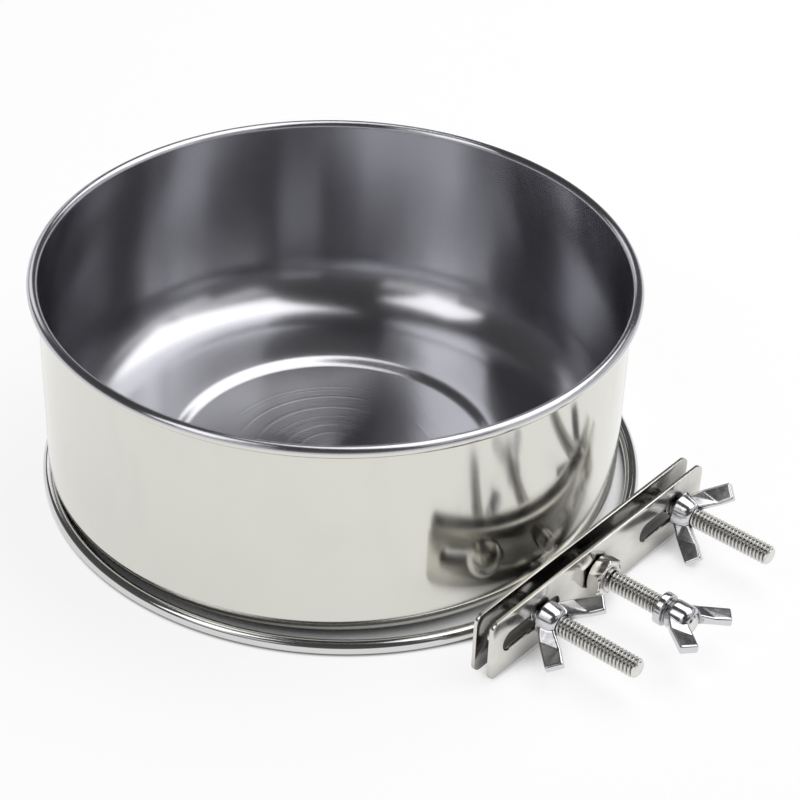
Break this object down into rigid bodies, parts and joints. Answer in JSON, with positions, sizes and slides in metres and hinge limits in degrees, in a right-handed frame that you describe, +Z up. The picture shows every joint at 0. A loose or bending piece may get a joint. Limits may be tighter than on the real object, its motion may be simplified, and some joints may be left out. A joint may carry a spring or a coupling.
{
  "type": "clamp-on pet feeder bowl",
  "caption": "Round steel feeder bowl in a wire ring holder, with a slotted two-plate cage clamp, wing nuts and a jack screw.",
  "frame": {"origin": "middle of the bowl's flat underside, on the surface that it stands on", "axes": "+Z up along the bowl's axis; -Y out through the clamp, along its screws; +X along the clamp plates"},
  "size_m": [0.1918, 0.2412, 0.073],
  "materials": {
    "bowl_steel": "mirror polished wall and rim outside, fine spun satin inside",
    "wire_steel": "polished round steel wire with a satin weld",
    "plate_steel": "pressed plate with a soft polish and rounded edges",
    "screw_steel": "bright plated screw thread",
    "wing_steel": "bright plated forging with soft edges"
  },
  "bodies": {
    "holder": {"ring_wire": "wire_steel", "inner_plate": "plate_steel", "left_carriage_bolt": "screw_steel", "right_carriage_bolt": "screw_steel"},
    "bowl": {"bowl": "bowl_steel"},
    "outer_clamp": {"outer_plate": "plate_steel", "jack_nut": "screw_steel"},
    "left_wing_nut": {"left_wing_nut": "wing_steel"},
    "right_wing_nut": {"right_wing_nut": "wing_steel"},
    "jack_stud": {"jack_stud": "screw_steel"},
    "jack_wing": {"jack_wing": "wing_steel"}
  },
  "joints": [
    {"name": "bowl_lift", "type": "slide", "parent": "holder", "child": "bowl", "axis": [0, 0, 1], "range_m": [0, 0.08]},
    {"name": "outer_plate_slide", "type": "slide", "parent": "holder", "child": "outer_clamp", "axis": [0, -1, 0], "range_m": [-0.002, 0.022]},
    {"name": "left_wing_nut_turn", "type": "hinge", "parent": "outer_clamp", "child": "left_wing_nut", "pos_m": [-0.0268, -0.11, 0.012], "axis": [0, -1, 0], "range_deg": [-570, 6240]},
    {"name": "right_wing_nut_turn", "type": "hinge", "parent": "outer_clamp", "child": "right_wing_nut", "pos_m": [0.041, -0.11, 0.012], "axis": [0, -1, 0], "range_deg": [-570, 6240]},
    {"name": "jack_stud_slide", "type": "slide", "parent": "outer_clamp", "child": "jack_stud", "axis": [0, 1, 0], "range_m": [-0.014, 0.001]},
    {"name": "jack_wing_turn", "type": "hinge", "parent": "jack_stud", "child": "jack_wing", "pos_m": [-0.0004, -0.135, 0.012], "axis": [0, 1, 0], "range_deg": [-3970, 285]}
  ],
  "couplings": [
    {"joint": "left_wing_nut_turn", "follows": "outer_plate_slide", "rad_per_m": 4947.4},
    {"joint": "right_wing_nut_turn", "follows": "outer_plate_slide", "rad_per_m": 4947.4},
    {"joint": "jack_wing_turn", "follows": "jack_stud_slide", "rad_per_m": 4947.4}
  ]
}
